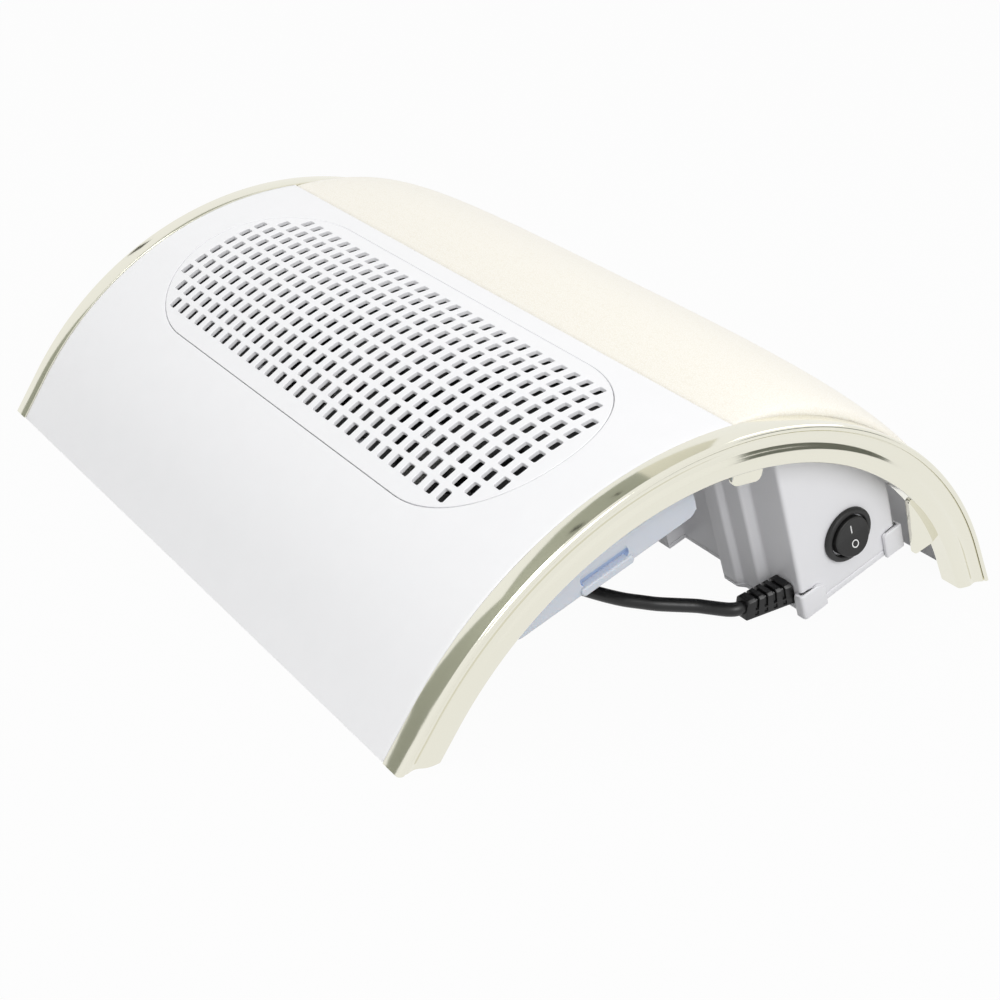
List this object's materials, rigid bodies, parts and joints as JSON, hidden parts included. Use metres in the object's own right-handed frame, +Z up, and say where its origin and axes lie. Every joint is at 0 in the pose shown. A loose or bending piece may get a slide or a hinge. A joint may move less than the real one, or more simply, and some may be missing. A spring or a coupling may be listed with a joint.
{
  "type": "nail dust collector",
  "caption": "Desk-top nail dust collector: a white arch with a stadium-shaped intake grille, a crowned cream hand rest, chrome end trims, a sliding dust drawer and a rocker switch.",
  "frame": {"origin": "centre of the footprint, on the table", "axes": "+Z up, +X along the arch to the end with the switch, +Y from the grille's side to the hand rest's side"},
  "size_m": [0.3326, 0.2856, 0.1015],
  "materials": {
    "white_abs": "fine satin gloss",
    "cream_leatherette": "soft satin",
    "champagne_chrome": "polished",
    "grey_abs": "satin",
    "blue_plastic": "translucent gloss",
    "filter_felt": "matte",
    "black_nylon": "satin",
    "copper_winding": "varnished",
    "zinc_steel": "satin",
    "circuit_board": "matte",
    "black_pvc": "satin",
    "plated_brass": "polished"
  },
  "bodies": {
    "housing": {"arch_shell": "white_abs", "bottom_plate": "grey_abs", "box_screw_1": "zinc_steel", "box_screw_2": "zinc_steel", "box_screw_3": "zinc_steel", "capacitor_1": "black_nylon", "capacitor_2": "black_nylon", "control_box": "grey_abs", "cord_coil": "black_pvc", "cord_tie": "black_pvc", "cover_screw_1": "zinc_steel", "cover_screw_2": "zinc_steel", "drawer_floor": "grey_abs", "drawer_rail_1": "grey_abs", "drawer_rail_2": "grey_abs", "drawer_stop": "grey_abs", "fan_frame_1": "black_nylon", "fan_frame_2": "black_nylon", "fan_frame_3": "black_nylon", "fan_housing": "grey_abs", "fan_lead": "black_pvc", "fan_motor_1": "copper_winding", "fan_motor_2": "copper_winding", "fan_motor_3": "copper_winding", "fan_screw_1": "zinc_steel", "fan_screw_2": "zinc_steel", "fan_screw_3": "zinc_steel", "fan_screw_4": "zinc_steel", "fan_screw_5": "zinc_steel", "fan_screw_6": "zinc_steel", "grille_panel": "white_abs", "hand_rest_pad": "cream_leatherette", "plug_body": "black_pvc", "plug_pin_1": "plated_brass", "plug_pin_2": "plated_brass", "power_board": "circuit_board", "power_cord": "black_pvc", "rear_cover": "grey_abs", "rear_housing": "grey_abs", "strain_relief": "black_pvc", "switch_bezel": "black_nylon", "switch_body": "black_nylon", "switch_lead": "black_pvc", "switch_terminal_1": "plated_brass", "switch_terminal_2": "plated_brass", "transformer": "zinc_steel", "trim_left": "champagne_chrome", "trim_right": "champagne_chrome"},
    "drawer": {"dust_drawer": "blue_plastic", "drawer_filter": "filter_felt"},
    "fan_1": {"fan_rotor_1": "black_nylon"},
    "fan_2": {"fan_rotor_2": "black_nylon"},
    "fan_3": {"fan_rotor_3": "black_nylon"},
    "rocker": {"switch_rocker": "black_nylon"}
  },
  "joints": [
    {"name": "drawer_slide", "type": "slide", "parent": "housing", "child": "drawer", "axis": [1, 0, 0], "range_m": [0, 0.25]},
    {"name": "fan_1_spin", "type": "hinge", "parent": "housing", "child": "fan_1", "pos_m": [-0.082, -0.05188, 0.06625], "axis": [0, -0.3843, 0.9232], "continuous": true},
    {"name": "fan_2_spin", "type": "hinge", "parent": "housing", "child": "fan_2", "pos_m": [0, -0.05188, 0.06625], "axis": [0, -0.3843, 0.9232], "continuous": true},
    {"name": "fan_3_spin", "type": "hinge", "parent": "housing", "child": "fan_3", "pos_m": [0.082, -0.05188, 0.06625], "axis": [0, -0.3843, 0.9232], "continuous": true},
    {"name": "rocker_tilt", "type": "hinge", "parent": "housing", "child": "rocker", "pos_m": [0.1538, 0.06557, 0.0339], "axis": [0, 0.9232, 0.3843], "range_deg": [0, 18]}
  ]
}
